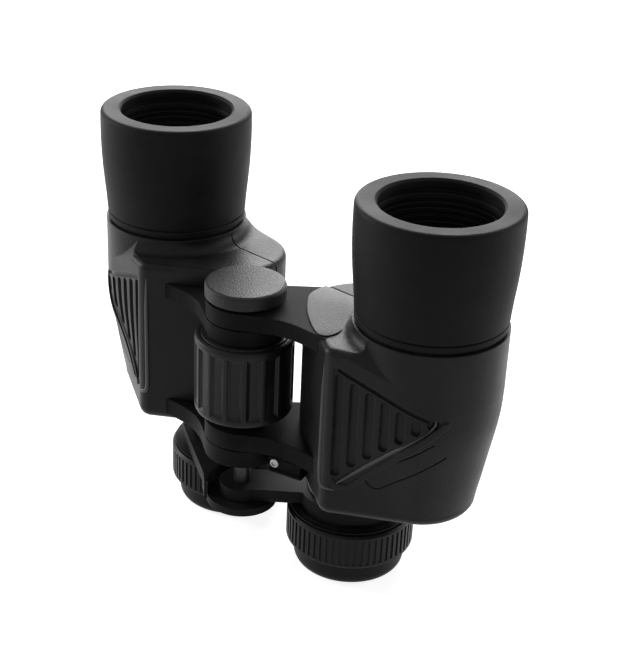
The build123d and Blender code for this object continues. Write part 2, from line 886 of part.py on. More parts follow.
lower_flange_z = left_lower_z - lug_gap / 2
finish(
    turned(hinge, [
        (bush_inner, lower_flange_z - flange_thickness),
        (bush_flange_radius, lower_flange_z - flange_thickness),
        (bush_flange_radius, lower_flange_z),
        (bush_outer, lower_flange_z),
        (bush_outer, right_lower_z + lower_lug),
        (bush_inner, right_lower_z + lower_lug),
    ]),
    "lower_bush",
)

with BuildPart() as hinge_washers:
    for lug_top in (left_lower_z + lower_lug, left_upper_z + upper_lug):
        add(ring(
            hinge, washer_radius, bush_outer + running, lug_top + seat, lug_top + washer_thickness
        ))
finish(hinge_washers.part, "hinge_washers")

# The threaded tripod socket closes the upper end of the hinge; the cap pushes over it.
finish(
    turned(hinge, [
        (0, shoulder_z - socket_depth - 1.0),
        (bush_inner - seat, shoulder_z - socket_depth - 1.0),
        (bush_inner - seat, shoulder_z),
        (bush_flange_radius, shoulder_z),
        (bush_flange_radius, socket_top - 0.3),
        (bush_flange_radius - 0.3, socket_top),
        (socket_radius + 0.5, socket_top),
        (socket_radius, socket_top - 0.5),
        (socket_radius, shoulder_z - socket_depth),
        (0, shoulder_z - socket_depth),
    ]),
    "tripod_socket",
)

finish(
    turned(hinge, [
        (0, cap_z + cap_recess),
        (bush_flange_radius + running, cap_z + cap_recess),
        (bush_flange_radius + running, cap_z),
        (cap_radius - 0.5, cap_z),
        (cap_radius, cap_z + 0.5),
        (cap_radius, cap_z + cap_height - 1.1),
        (cap_radius - 0.3, cap_z + cap_height - 0.4),
        (cap_radius - 1.0, cap_z + cap_height),
        (0, cap_z + cap_height),
    ]),
    "hinge_cap",
)

# ================================================================ focus wheel
sleeve_foot = right_lower_z - 3.6
sleeve_top = shoulder_z - socket_depth - 1.5
spindle_foot = left_hub_z - hub_gap + seat
spindle_top = sleeve_top - 12.8
finish(
    turned(hinge, [
        (spindle_radius + running, sleeve_foot),
        (bush_inner - running, sleeve_foot),
        (bush_inner - running, wheel_z - wheel_foot),
        (wheel_foot_radius, wheel_z - wheel_foot),
        (wheel_foot_radius, wheel_z),
        (wheel_radius - wheel_rubber, wheel_z),
        (wheel_radius - wheel_rubber, wheel_top_z),
        (bush_inner - running, wheel_top_z),
        (bush_inner - running, sleeve_top),
        (spindle_radius + running, sleeve_top),
    ]),
    "focus_wheel_core",
)

with BuildPart() as focus_wheel_grip:
    add(turned(hinge, [
        (wheel_radius - wheel_rubber + seat, wheel_z + 0.3),
        (wheel_radius - 1.3, wheel_z + 0.3),
        (wheel_radius, wheel_z + 1.6),
        (wheel_radius, wheel_top_z - 1.6),
        (wheel_radius - 1.3, wheel_top_z - 0.3),
        (wheel_radius - wheel_rubber + seat, wheel_top_z - 0.3),
    ]))
    with BuildSketch(upright(hinge, wheel_z + flute_margin)):
        with PolarLocations(wheel_radius + 1.0, flute_count):
            RectangleRounded(2 * (1.0 + flute_depth), flute_width, 0.8)
    extrude(amount=wheel_height - 2 * flute_margin, mode=Mode.SUBTRACT)
finish(focus_wheel_grip.part, "focus_wheel_grip")

# ================================================================ bridge
with BuildPart() as focus_spindle:
    add(turned(hinge, [
        (spindle_screw + seat, spindle_foot),
        (spindle_radius - 0.4, spindle_foot),
        (spindle_radius, spindle_foot + 0.4),
        (spindle_radius, spindle_top - 0.5),
        (spindle_radius - 0.5, spindle_top),
        (0, spindle_top),
        (0, spindle_foot + 12.0),
        (spindle_screw + seat, spindle_foot + 12.0),
    ]))
finish(focus_spindle.part, "focus_spindle")

bridge_screw_z = left_hub_z - hub_gap - screw_head_height
with BuildPart() as bridge_screw:
    add(turned(hinge, [
        (0, bridge_screw_z),
        (screw_head_radius - 0.8, bridge_screw_z),
        (screw_head_radius, bridge_screw_z + 0.8),
        (screw_head_radius, bridge_screw_z + screw_head_height),
        (spindle_screw, bridge_screw_z + screw_head_height),
        (spindle_screw, spindle_foot + 10.0),
        (0, spindle_foot + 10.0),
    ]))
    with BuildSketch(upright(hinge, bridge_screw_z)):
        Rectangle(2 * screw_head_radius + 2, 1.2)
    extrude(amount=1.0, mode=Mode.SUBTRACT)
finish(bridge_screw.part, "bridge_screw")


def arm_plane(turn, height):
    """Horizontal plane at the hinge axis with its local X along a bridge arm."""
    along = (cos(radians(turn)), sin(radians(turn)), 0)
    return Plane(origin=(0, hinge_y, height), x_dir=along, z_dir=(0, 0, 1))


with BuildPart() as right_bridge_arm:
    with BuildSketch(arm_plane(arm_turn, bridge_z)):
        Circle(right_hub)
        with Locations((arm_length / 2, 0)):
            Rectangle(arm_length, 2 * web_half)
        with Locations((arm_length, 0)):
            Circle(clamp_radius)
            Circle(clamp_bore, mode=Mode.SUBTRACT)
        Circle(spindle_radius + seat, mode=Mode.SUBTRACT)
    extrude(amount=bridge_thickness)
finish(right_bridge_arm.part, "right_bridge_arm")

# The left arm hangs under the right one at the hub and steps up beside it. Its front
# edge runs straight from the clamp to the hub, its rear edge keeps off the right arm.
with BuildSketch() as web_face:
    add(belt([(0, 0, left_hub), (arm_length, 0, clamp_radius)]))
    with Locations((arm_length / 2, web_half)):
        Rectangle(arm_length, 2 * web_half)
    with Locations((arm_length / 2, -clamp_radius)):
        Rectangle(2 * arm_length, 2 * clamp_radius, mode=Mode.SUBTRACT)
    with Locations((arm_length / 2, -web_half / 2)):
        Rectangle(arm_length, web_half)
left_web = web_face.sketch

with BuildPart() as left_bridge_arm:
    with BuildSketch(arm_plane(180 - arm_turn, left_hub_z)):
        add(left_web)
        Circle(riser_end, mode=Mode.INTERSECT)
    extrude(amount=bridge_z - left_hub_z)
    with BuildSketch(arm_plane(180 - arm_turn, bridge_z)):
        add(left_web)
        with Locations((arm_length, 0)):
            Circle(clamp_radius)
            Circle(clamp_bore, mode=Mode.SUBTRACT)
        Circle(left_hub, mode=Mode.SUBTRACT)
    extrude(amount=bridge_thickness)
    with BuildSketch(upright(hinge, left_hub_z)):
        Circle(left_hub)
    extrude(amount=bridge_z - left_hub_z, mode=Mode.SUBTRACT)
    with BuildSketch(upright(hinge, left_hub_z)):
        Circle(left_hub)
        Circle(spindle_radius + running, mode=Mode.SUBTRACT)
    extrude(amount=left_hub_thickness)
finish(left_bridge_arm.part, "left_bridge_arm")

# ================================================================ eyepieces
both_sides(
    turned(eye, [
        (ocular_radius - tube_wall, tube_end),
        (ocular_radius, tube_end),
        (ocular_radius, collar_z),
        (collar_radius, collar_z),
        (collar_radius, collar_z + 0.5),
        (clamp_radius - 0.2, bridge_z - seat),
        (ocular_radius, bridge_z - seat),
        (ocular_radius, neck_z),
        (neck_radius, neck_z),
        (neck_radius, neck_z + neck_height),
        (neck_radius - 1.4, neck_z + neck_height),
        (neck_radius - 1.4, field_z + field_thickness + 0.4),
        (field_radius + seat, field_z + field_thickness + 0.4),
        (field_radius + seat, field_z - 2.0),
        (ocular_radius - tube_wall, field_z - 2.0),
    ]),
    "ocular_tube",
)
both_sides(
    lens(eye, field_radius, field_z, field_z + field_thickness, 0.4, 1.4), "field_lens"
)
both_sides(
    ring(eye, field_radius, field_radius - 1.6, field_z - 1.8, field_z - seat), "field_ring"
)
stop_z = neck_z + neck_height - 4.0
both_sides(
    ring(eye, neck_radius - 1.4 - seat, stop_radius, stop_z, stop_z + 1.4), "field_stop"
)
both_sides(
    turned(eye, [
        (eye_lens_radius - 1.2, cell_z),
        (cell_radius - 0.5, cell_z),
        (cell_radius, cell_z + 0.5),
        (cell_radius, cell_top),
        (eye_lens_radius + seat, cell_top),
        (eye_lens_radius + seat, cell_z + 1.5),
        (eye_lens_radius - 1.2, cell_z + 1.5),
    ]),
    "eye_cell",
)
both_sides(
    lens(eye, eye_lens_radius, cell_z + 1.5 + seat, cell_z + 5.5, 0.3, 1.8), "eye_lens"
)

# Ribbed ring with the neck that carries the eyecup
boss_z = cup_height - boss_height_below
with BuildPart() as ribbed_ring:
    add(turned(eye, [
        (boss_bore, boss_z),
        (boss_outer, boss_z),
        (boss_outer, ring_z),
        (ring_radius - 0.8, ring_z),
        (ring_radius, ring_z + 0.8),
        (ring_radius, ring_z + band_height),
        (ring_radius - rib_depth, ring_z + band_height + rib_depth),
        (ring_radius - rib_depth, ring_z + ring_height - band_height - rib_depth),
        (ring_radius, ring_z + ring_height - band_height),
        (ring_radius, ring_z + ring_height - 0.8),
        (ring_radius - 0.8, ring_z + ring_height),
        (ocular_radius + running, ring_z + ring_height),
        (ocular_radius + running, ring_z + 0.9),
        (boss_bore, ring_z + 0.9),
    ]))
    with BuildSketch(upright(eye, ring_z + band_height)):
        with PolarLocations(ring_radius - rib_depth, rib_count):
            Rectangle(2 * rib_depth, rib_width)
    extrude(amount=ring_height - 2 * band_height)
finish(ribbed_ring.part, "diopter_ring")
mirrored(ribbed_ring.part, "left_eyepiece_ring")

with BuildPart() as eyecup:
    with BuildSketch(turning(eye)):
        with BuildLine():
            Polyline(
                (boss_outer + seat, boss_z - seat),
                (boss_outer + seat, cup_height - seat),
                (cup_radius, cup_height - seat),
                (cup_radius, 3.4),
            )
            Spline(
                (cup_radius, 3.4),
                (cup_radius - 0.5, 1.2),
                (cup_radius - 2.2, 0),
                tangents=((0, -1), (-1, 0)),
            )
            Polyline(
                (cup_radius - 2.2, 0),
                (cup_mouth + 1.9, 0),
                (cup_mouth + 0.8, 0.5),
                (cup_mouth, boss_z - 1.6),
                (cup_mouth, boss_z - seat),
                (boss_outer + seat, boss_z - seat),
            )
        make_face()
    spin(eye)
both_sides(eyecup.part, "eyecup")
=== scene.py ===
"""Looks of a pair of Porro-prism binoculars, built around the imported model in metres.

The instrument stands on its eyecups, +X is the right half and +Z the way the
objectives look. Every piece lies where the frame puts it and rides on a body.
"""

import json
from math import cos, hypot, pi, radians, sin

import bpy
from mathutils import Matrix, Vector


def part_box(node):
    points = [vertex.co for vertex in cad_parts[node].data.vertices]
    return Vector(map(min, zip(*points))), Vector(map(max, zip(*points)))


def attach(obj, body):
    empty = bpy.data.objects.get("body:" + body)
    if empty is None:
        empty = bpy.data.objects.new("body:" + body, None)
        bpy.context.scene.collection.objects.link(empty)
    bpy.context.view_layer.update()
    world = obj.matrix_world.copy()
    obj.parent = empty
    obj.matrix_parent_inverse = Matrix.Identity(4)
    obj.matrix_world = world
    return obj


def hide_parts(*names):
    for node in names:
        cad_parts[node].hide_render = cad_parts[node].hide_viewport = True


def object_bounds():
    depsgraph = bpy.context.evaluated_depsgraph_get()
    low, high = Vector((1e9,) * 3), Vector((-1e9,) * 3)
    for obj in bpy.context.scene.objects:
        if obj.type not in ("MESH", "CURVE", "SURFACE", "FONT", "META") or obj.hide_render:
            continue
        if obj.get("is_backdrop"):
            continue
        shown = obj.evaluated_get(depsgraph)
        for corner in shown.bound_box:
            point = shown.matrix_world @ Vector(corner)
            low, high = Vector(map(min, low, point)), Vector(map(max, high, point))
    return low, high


bl_info = {
    "name": "Binoculars",
    "version": (1, 0, 0),
    "blender": (4, 5, 0),
    "location": "View3D > Sidebar > Binoculars",
    "description": "Finishes, tread, rings, ridges, beads, pad, foot and screw of binoculars",
    "category": "Add Mesh",
}

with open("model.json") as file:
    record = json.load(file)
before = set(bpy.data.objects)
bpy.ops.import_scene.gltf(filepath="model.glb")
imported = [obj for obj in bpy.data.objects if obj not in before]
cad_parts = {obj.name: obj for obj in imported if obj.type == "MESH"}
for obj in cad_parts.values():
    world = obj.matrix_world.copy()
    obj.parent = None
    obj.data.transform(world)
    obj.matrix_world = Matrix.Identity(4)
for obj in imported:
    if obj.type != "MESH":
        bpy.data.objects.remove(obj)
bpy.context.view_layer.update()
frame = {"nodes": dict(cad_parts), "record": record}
MM = 0.001
SEAT = 0.02 * MM                # gap between pieces that are fixed together
WELD = 0.001 * MM               # points nearer than this are one
FLOOR_GAP = 0.05 * MM           # floor below the eyecups
RELIEF_STRENGTH = 0.6
BLEND_COLOURS = (6, 7)          # colour entries of a Mix node
BLEND_RESULT = 2                # its colour output

# Camera: the way it backs off from the object, its right hand, and its place
CAMERA_BACK = Vector((0.5873, -0.6679, 0.4572)).normalized()
CAMERA_RIGHT = Vector((0.7371, 0.6747, 0.0388))
CAMERA_PLACE = Vector((0.3226, -0.3477, 0.3280))
CAMERA_LENS = 79.29
CAMERA_SENSOR = 36.0
CAMERA_NEAR = 10 * MM

# Lamps, each at an offset in metres from the object's middle
BACK_LAMP = Vector((-0.72, 0.82, 0.60))
RIGHT_LAMP = Vector((0.60, 0.92, 0.25))
LEFT_LAMP = Vector((-0.98, -0.40, 0.30))
LEFT_LAMP_SHARE = 1.6           # of the side lamps' power
FLOOR_GLOW = 0.80


# ------------------------------------------------------------------ places
def middle(node):
    """Middle of a node's box."""
    low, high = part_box(node)
    return (low + high) / 2


def outer_radius(node):
    """Half the width of a round node across X."""
    low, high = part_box(node)
    return (high.x - low.x) / 2


# ------------------------------------------------------------------ modelling
def deselect():
    """Clear the selection, which every new primitive starts from."""
    bpy.ops.object.select_all(action="DESELECT")


def name_piece(name):
    """Name the object just added, and its mesh."""
    piece = bpy.context.object
    piece.name = name
    piece.data.name = name
    return piece


def settle(piece):
    """Bring the object to the origin, its place in its mesh, weld its points and turn its
    normals outwards.
    """
    bpy.ops.object.mode_set(mode="OBJECT")
    deselect()
    piece.select_set(True)
    bpy.context.view_layer.objects.active = piece
    bpy.ops.object.transform_apply(location=True, rotation=True, scale=True)
    bpy.ops.object.mode_set(mode="EDIT")
    bpy.ops.mesh.select_all(action="SELECT")
    bpy.ops.mesh.remove_doubles(threshold=WELD)
    bpy.ops.mesh.normals_make_consistent(inside=False)
    bpy.ops.object.mode_set(mode="OBJECT")
    return piece


def lift(centre, radius_from, radius_to, rise):
    """Extrude the selected loop upwards and draw it to a new radius."""
    bpy.ops.mesh.extrude_region_move(TRANSFORM_OT_translate={"value": (0, 0, rise)})
    factor = radius_to / radius_from
    bpy.ops.transform.resize(value=(factor, factor, 1), center_override=centre)


def turned(name, centre, profile, segments=96, closed=True):
    """Round piece turned from (radius, height) steps about a vertical axis.

    A closed profile is a ring, bridged from its last loop to its first.
    """
    deselect()
    radius, height = profile[0]
    bpy.ops.mesh.primitive_circle_add(
        vertices=segments, radius=radius, fill_type="NOTHING",
        location=(centre.x, centre.y, height),
    )
    piece = name_piece(name)
    bpy.ops.object.mode_set(mode="EDIT")
    bpy.ops.mesh.select_mode(type="EDGE")
    bpy.ops.mesh.select_all(action="SELECT")
    if not closed:
        bpy.ops.mesh.edge_face_add()
    for new_radius, new_height in profile[1:]:
        lift((centre.x, centre.y, height), radius, new_radius, new_height - height)
        radius, height = new_radius, new_height
    if closed:
        bpy.ops.mesh.select_all(action="DESELECT")
        bpy.ops.mesh.select_non_manifold()
        bpy.ops.mesh.bridge_edge_loops()
    return settle(piece)


def stacked(name, length, width, profile):
    """Block about the Z axis, stacked up from (inset, height) steps of a rectangle."""
    deselect()
    inset, height = profile[0]
    bpy.ops.mesh.primitive_plane_add(size=1, location=(0, 0, height))
    piece = name_piece(name)
    piece.scale = (length - 2 * inset, width - 2 * inset, 1)
    bpy.ops.object.transform_apply(location=True, rotation=True, scale=True)
    bpy.ops.object.mode_set(mode="EDIT")
    bpy.ops.mesh.select_all(action="SELECT")
    for new_inset, new_height in profile[1:]:
        bpy.ops.mesh.extrude_region_move(
            TRANSFORM_OT_translate={"value": (0, 0, new_height - height)}
        )
        factors = [(side - 2 * new_inset) / (side - 2 * inset) for side in (length, width)]
        bpy.ops.transform.resize(value=(*factors, 1), center_override=(0, 0, 0))
        inset, height = new_inset, new_height
    bpy.ops.object.mode_set(mode="OBJECT")
    return piece


def swept(name, points, radius):
    """Round bead along a smooth line near some points, thinner at its ends."""
    end_share = 0.35
    deselect()
    bpy.ops.curve.primitive_nurbs_path_add(enter_editmode=False, location=(0, 0, 0))
    line = bpy.context.object
    spline = line.data.splines[0]
    spline.points.add(len(points) - len(spline.points))
    for knot, point in zip(spline.points, points):
        knot.co = (*point, 1)
    spline.use_endpoint_u = True
    spline.order_u = 3
    spline.points[0].radius = spline.points[-1].radius = end_share
    line.data.bevel_depth = radius
    line.data.bevel_resolution = 4
    line.data.resolution_u = 8
    line.data.use_fill_caps = True
    bpy.ops.object.convert(target="MESH")
    piece = name_piece(name)
    settle(piece)
    bpy.ops.object.shade_smooth_by_angle(angle=radians(50))
    return piece


def pick_faces(piece, wanted):
    """Select the faces that pass a test, in edit mode."""
    bpy.ops.object.mode_set(mode="EDIT")
    bpy.ops.mesh.select_mode(type="FACE")
    bpy.ops.mesh.select_all(action="DESELECT")
    bpy.ops.object.mode_set(mode="OBJECT")
    for face in piece.data.polygons:
        face.select = wanted(face)
    bpy.ops.object.mode_set(mode="EDIT")


def apply_bevel(piece, width, segments=2, angle=30.0):
    """Round the piece's edges and shade it smooth."""
    modifier = piece.modifiers.new("edges", "BEVEL")
    modifier.width = width
    modifier.segments = segments
    modifier.limit_method = "ANGLE"
    modifier.angle_limit = radians(angle)
    bpy.ops.object.modifier_apply(modifier=modifier.name)
    bpy.ops.object.shade_smooth_by_angle(angle=radians(angle))


def dress(piece, material, body):
    """Give a finished piece its material and body."""
    piece.data.materials.clear()
    piece.data.materials.append(bpy.data.materials[material])
    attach(piece, body)


# ------------------------------------------------------------------ finishes
class Finish:
    """A node material whose patterns read Object coordinates."""

    def __init__(self, name):
        self.material = bpy.data.materials.new(name)
        self.material.use_nodes = True
        self.tree = self.material.node_tree
        self.shader = self.tree.nodes["Principled BSDF"]
        self.place = self.add("ShaderNodeTexCoord").outputs["Object"]

    def add(self, kind, **settings):
        node = self.tree.nodes.new(kind)
        for key, value in settings.items():
            setattr(node, key, value)
        return node

    def join(self, output, entry):
        self.tree.links.new(output, entry)

    def noise(self, size, detail=3.0, stretch=(1, 1, 1)):
        """Soft noise with features of about a size."""
        mapping = self.add("ShaderNodeMapping")
        mapping.inputs["Scale"].default_value = stretch
        self.join(self.place, mapping.inputs["Vector"])
        node = self.add("ShaderNodeTexNoise")
        node.inputs["Scale"].default_value = 1 / size
        node.inputs["Detail"].default_value = detail
        self.join(mapping.outputs["Vector"], node.inputs["Vector"])
        return node.outputs["Fac"]

    def cells(self, size):
        """Rounded pebbles of about a size."""
        node = self.add("ShaderNodeTexVoronoi", feature="SMOOTH_F1")
        node.inputs["Scale"].default_value = 1 / size
        self.join(self.place, node.inputs["Vector"])
        return node.outputs["Distance"]

    def span(self, value, low, high, to_low=0.0, to_high=1.0):
        """Stretch a range of a value to another range."""
        node = self.add("ShaderNodeMapRange")
        for entry, number in zip(
            ("From Min", "From Max", "To Min", "To Max"), (low, high, to_low, to_high)
        ):
            node.inputs[entry].default_value = number
        self.join(value, node.inputs["Value"])
        return node.outputs["Result"]

    def blend(self, share, first, second):
        """Mix of two colours by a share; either may be an output."""
        node = self.add("ShaderNodeMix", data_type="RGBA")
        self.join(share, node.inputs["Factor"])
        for entry, colour in zip(BLEND_COLOURS, (first, second)):
            if isinstance(colour, bpy.types.NodeSocket):
                self.join(colour, node.inputs[entry])
            else:
                node.inputs[entry].default_value = (*colour[:3], 1)
        return node.outputs[BLEND_RESULT]

    def total(self, first, second, weight=1.0):
        """First value plus a weighted second one."""
        node = self.add("ShaderNodeMath", operation="MULTIPLY_ADD")
        node.inputs[1].default_value = weight
        self.join(second, node.inputs[0])
        self.join(first, node.inputs[2])
        return node.outputs[0]

    def edges(self, radius):
        """Normal with rounded edges, and how much each point lies on an edge."""
        bevel = self.add("ShaderNodeBevel", samples=6)
        bevel.inputs["Radius"].default_value = radius
        flat = self.add("ShaderNodeNewGeometry").outputs["Normal"]
        turn = self.add("ShaderNodeVectorMath", operation="DOT_PRODUCT")
        self.join(bevel.outputs["Normal"], turn.inputs[0])
        self.join(flat, turn.inputs[1])
        on_face, on_edge = 0.98, 0.75
        return bevel.outputs["Normal"], self.span(turn.outputs["Value"], on_face, on_edge)

    def relief(self, height, depth, normal=None):
        """Bump of a height field."""
        bump = self.add("ShaderNodeBump")
        bump.inputs["Distance"].default_value = depth
        bump.inputs["Strength"].default_value = RELIEF_STRENGTH
        self.join(height, bump.inputs["Height"])
        if normal is not None:
            self.join(normal, bump.inputs["Normal"])
        self.join(bump.outputs["Normal"], self.shader.inputs["Normal"])

    def set(self, **values):
        """Set constants on the shader's own sockets."""
        for key, value in values.items():
            self.shader.inputs[key.replace("_", " ")].default_value = value

    def colour(self, output):
        self.join(output, self.shader.inputs["Base Color"])

    def roughness(self, output):
        self.join(output, self.shader.inputs["Roughness"])


def rubber(name, colour, gloss, pebble, depth, softness, level, sheen=0.03):
    """Moulded rubber or plastic: fine pebbles, cloudy dust, paler specks and a painted
    highlight along its edges.
    """
    finish = Finish(name)
    normal, edge = finish.edges(softness)
    cloud = finish.noise(size=18 * MM, detail=5.0)
    fine = finish.noise(size=pebble * 0.6, detail=4.0)
    pebbles = finish.cells(pebble)
    lighter = [1.75 * part + 0.004 for part in colour]
    # Paler colour for the specks, also the colour of the painted highlight along the edges
    wear_and_highlight = [2.6 * part + 0.01 for part in colour]
    dusty = finish.blend(finish.span(cloud, 0.42, 0.78), colour, lighter)
    specks = finish.blend(finish.span(fine, 0.62, 0.8, to_high=0.5), dusty, wear_and_highlight)
    # Every rounded edge is painted lighter: a painted highlight, not wear
    finish.colour(finish.blend(finish.span(edge, 0, 1, to_high=0.55), specks, wear_and_highlight))
    clouded = finish.span(cloud, 0.3, 0.7, gloss - 0.05, gloss + 0.06)
    finish.roughness(finish.total(clouded, fine, weight=0.06))
    finish.relief(finish.total(pebbles, fine, weight=0.7), depth, normal)
    finish.set(Specular_IOR_Level=level, Sheen_Weight=sheen, Sheen_Roughness=0.35)
    return finish.material


def painted(name, colour, gloss, grain, depth, softness, level):
    """Black paint on alloy: crinkled, with scuffed edges."""
    finish = Finish(name)
    normal, edge = finish.edges(softness)
    cloud = finish.noise(size=12 * MM, detail=4.0)
    crinkle = finish.noise(size=grain, detail=6.0)
    scuffs = finish.noise(size=1.5 * MM, detail=5.0, stretch=(1, 1, 6))
    lighter = [1.7 * part + 0.004 for part in colour]
    bare = [0.09, 0.09, 0.09]
    coat = finish.blend(finish.span(cloud, 0.4, 0.75), colour, lighter)
    rubbed = finish.add("ShaderNodeMath", operation="MULTIPLY")
    finish.join(edge, rubbed.inputs[0])
    finish.join(finish.span(scuffs, 0.5, 0.72), rubbed.inputs[1])
    finish.colour(finish.blend(rubbed.outputs[0], coat, bare))
    finish.roughness(finish.span(crinkle, 0.3, 0.7, gloss - 0.06, gloss + 0.08))
    finish.relief(crinkle, depth, normal)
    finish.set(Specular_IOR_Level=level)
    return finish.material


def machined(name, colour, gloss):
    """Turned metal with fine tool marks about a vertical axis."""
    finish = Finish(name)
    marks = finish.noise(size=1.6 * MM, detail=4.0, stretch=(0.15, 0.15, 9))
    tarnish = finish.noise(size=4 * MM, detail=4.0)
    dull = [0.55 * part for part in colour]
    finish.colour(finish.blend(finish.span(tarnish, 0.4, 0.75), colour, dull))
    finish.roughness(finish.span(marks, 0.3, 0.7, gloss - 0.08, gloss + 0.12))
    finish.relief(marks, depth=0.02 * MM)
    finish.set(Metallic=1.0)
    return finish.material


def glass(name, tint, haze, coat):
    """Polished glass with a coating that shows at a slant and faint smears."""
    finish = Finish(name)
    smear = finish.noise(size=9 * MM, detail=5.0)
    slant = finish.add("ShaderNodeLayerWeight")
    slant.inputs["Blend"].default_value = 0.35
    finish.colour(finish.blend(slant.outputs["Facing"], (0.96, 0.97, 0.98), tint))
    finish.roughness(finish.span(smear, 0.45, 0.8, 0.0, haze))
    finish.set(
        Transmission_Weight=1.0, IOR=1.52, Coat_Weight=coat, Coat_Roughness=0.03
    )
    return finish.material


def ridged_black(name, colour, pitch):
    """Matt black against glare, cut with fine level threads."""
    finish = Finish(name)
    band_length = 3.14          # of a wave of scale 1 / pitch, in pitches
    normal, _ = finish.edges(0.3 * MM)
    thread = finish.add("ShaderNodeTexWave", bands_direction="Z")
    thread.inputs["Scale"].default_value = 1 / (band_length * pitch)
    thread.inputs["Distortion"].default_value = 0.0
    finish.join(finish.place, thread.inputs["Vector"])
    dust = finish.noise(size=3 * MM, detail=4.0)
    lighter = [1.8 * part for part in colour]
    finish.colour(finish.blend(finish.span(dust, 0.4, 0.8), colour, lighter))
    finish.roughness(finish.span(dust, 0.3, 0.7, 0.42, 0.6))
    finish.relief(thread.outputs["Fac"], depth=0.25 * pitch, normal=normal)
    finish.set(Specular_IOR_Level=0.08)
    return finish.material


# ------------------------------------------------------------------ settings
class StageSettings(bpy.types.PropertyGroup):
    floor_size: bpy.props.FloatProperty(
        name="Floor size", description="Side of the square floor", default=12.0,
        unit="LENGTH",
    )
    floor_tone: bpy.props.FloatProperty(
        name="Floor tone", description="Lightness of the pale floor", default=0.62,
        min=0, max=1, subtype="FACTOR",
    )
    room_level: bpy.props.FloatProperty(
        name="Room level", description="Soft light from all round", default=0.36, min=0,
    )
    back_power: bpy.props.FloatProperty(
        name="Back lamp", description="Power of the large lamp above and behind",
        default=24.0, unit="POWER",
    )
    side_power: bpy.props.FloatProperty(
        name="Side lamps", description="Power of the lamps on the right and left", default=4.0,
        unit="POWER",
    )


class RubberSettings(bpy.types.PropertyGroup):
    colour: bpy.props.FloatVectorProperty(
        name="Rubber colour", description="Black of the armour, hoods and eyecups",
        subtype="COLOR", size=3, default=(0.0052, 0.0052, 0.0055), min=0, max=1,
    )
    pebble: bpy.props.FloatProperty(
        name="Pebble size", description="Width of the moulded pebbles",
        default=0.55 * MM, unit="LENGTH", precision=5,
    )
    gloss: bpy.props.FloatProperty(
        name="Rubber roughness", description="Roughness of the rubber", default=0.40,
        min=0, max=1, subtype="FACTOR",
    )


class WheelSettings(bpy.types.PropertyGroup):
    flutes: bpy.props.IntProperty(
        name="Flutes", description="Broad flutes round the focus wheel", default=16, min=6,
    )
    depth: bpy.props.FloatProperty(
        name="Flute depth", description="How deep each flute is", default=0.95 * MM,
        unit="LENGTH", precision=5,
    )
    margin: bpy.props.FloatProperty(
        name="Band height", description="Plain band above and below the flutes",
        default=2.6 * MM, unit="LENGTH", precision=5,
    )


class FineSettings(bpy.types.PropertyGroup):
    glare_pitch: bpy.props.FloatProperty(
        name="Glare ring pitch", description="Height of one ring in the objective tubes",
        default=2.3 * MM, unit="LENGTH", precision=5,
    )
    neck_pitch: bpy.props.FloatProperty(
        name="Neck ridge pitch", description="Height of one ridge on the eyepiece necks",
        default=1.9 * MM, unit="LENGTH", precision=5,
    )
    bead_radius: bpy.props.FloatProperty(
        name="Grip bead radius", description="Radius of the raised beads about the grips",
        default=0.9 * MM, unit="LENGTH", precision=5,
    )
    screw_radius: bpy.props.FloatProperty(
        name="Screw radius", description="Radius of the small lock screw's head",
        default=1.7 * MM, unit="LENGTH", precision=5,
    )


# ------------------------------------------------------------------ operators
class BINOCULARS_OT_finishes(bpy.types.Operator):
    """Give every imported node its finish"""

    bl_idname = "binoculars.finishes"
    bl_label = "Finishes"

    def execute(self, context):
        settings = context.scene.binoculars_rubber
        black, gloss = tuple(settings.colour), settings.gloss

        def moulded(name, drop, depth, softness, level, colour=black, sheen=0.03):
            """Rubber smoother than the setting by a drop, with sizes in millimetres."""
            return rubber(
                name, colour, gloss - drop, settings.pebble,
                depth * MM, softness * MM, level, sheen,
            )

        def coated(name, colour, roughness, grain, depth, softness, level):
            """Black paint whose sizes are in millimetres."""
            return painted(
                name, colour, roughness, grain * MM, depth * MM, softness * MM, level
            )

        made = {
            "armour_rubber": moulded("armour", 0.02, 0.12, 0.6, level=0.12),
            "hood_rubber": moulded("hood", -0.12, 0.07, 0.5, level=0.07, sheen=0.01),
            "cup_rubber": moulded("cup", -0.06, 0.05, 0.5, level=0.10),
            "wheel_rubber": moulded("wheel", 0.03, 0.06, 0.3, level=0.15),
            "cap_black": moulded("cap", -0.02, 0.14, 0.4, level=0.16, colour=(0.016,) * 3),
            "ring_black": moulded("ring", 0.04, 0.03, 0.2, level=0.13),
            "cell_black": moulded("cell", 0.0, 0.02, 0.3, level=0.3),
            "wheel_black": moulded("core", 0.0, 0.03, 0.3, level=0.3),
            "alloy_black": coated("alloy", black, 0.62, 0.5, 0.08, 0.5, level=0.05),
            "shelf_alloy": coated("shelf", (0.03,) * 3, 0.50, 0.4, 0.04, 0.3, level=0.4),
            "bridge_black": coated("bridge", (0.006,) * 3, 0.58, 0.5, 0.06, 0.4, level=0.08),
            "screw_black": coated("screw", (0.03,) * 3, 0.35, 0.3, 0.02, 0.2, level=0.5),
            "tube_black": ridged_black("tube", (0.004,) * 3, pitch=0.7 * MM),
            "prism_glass": glass("prism", (0.90, 0.94, 0.95), haze=0.02, coat=0.0),
            "coated_glass": glass("objective", (0.50, 0.55, 0.85), haze=0.03, coat=0.25),
            "eye_glass": glass("eye", (0.60, 0.68, 0.85), haze=0.03, coat=0.2),
            "clip_steel": machined("spring", (0.30, 0.30, 0.295), 0.38),
            "spindle_steel": machined("spindle", (0.06, 0.06, 0.062), 0.42),
            "bush_brass": machined("brass", (0.62, 0.46, 0.20), 0.32),
        }
        # The grips' beads have a paler rubber, a painted highlight along them, which no
        # imported piece wears
        moulded("wear_and_highlight", 0.04, 0.03, 0.2, level=0.34, colour=(0.02,) * 3)
        slots = {part["node"]: part["material_slot"] for part in frame["record"]["subparts"]}
        for name, node in frame["nodes"].items():
            node.data.materials.clear()
            node.data.materials.append(made[slots[name]])
        return {"FINISHED"}


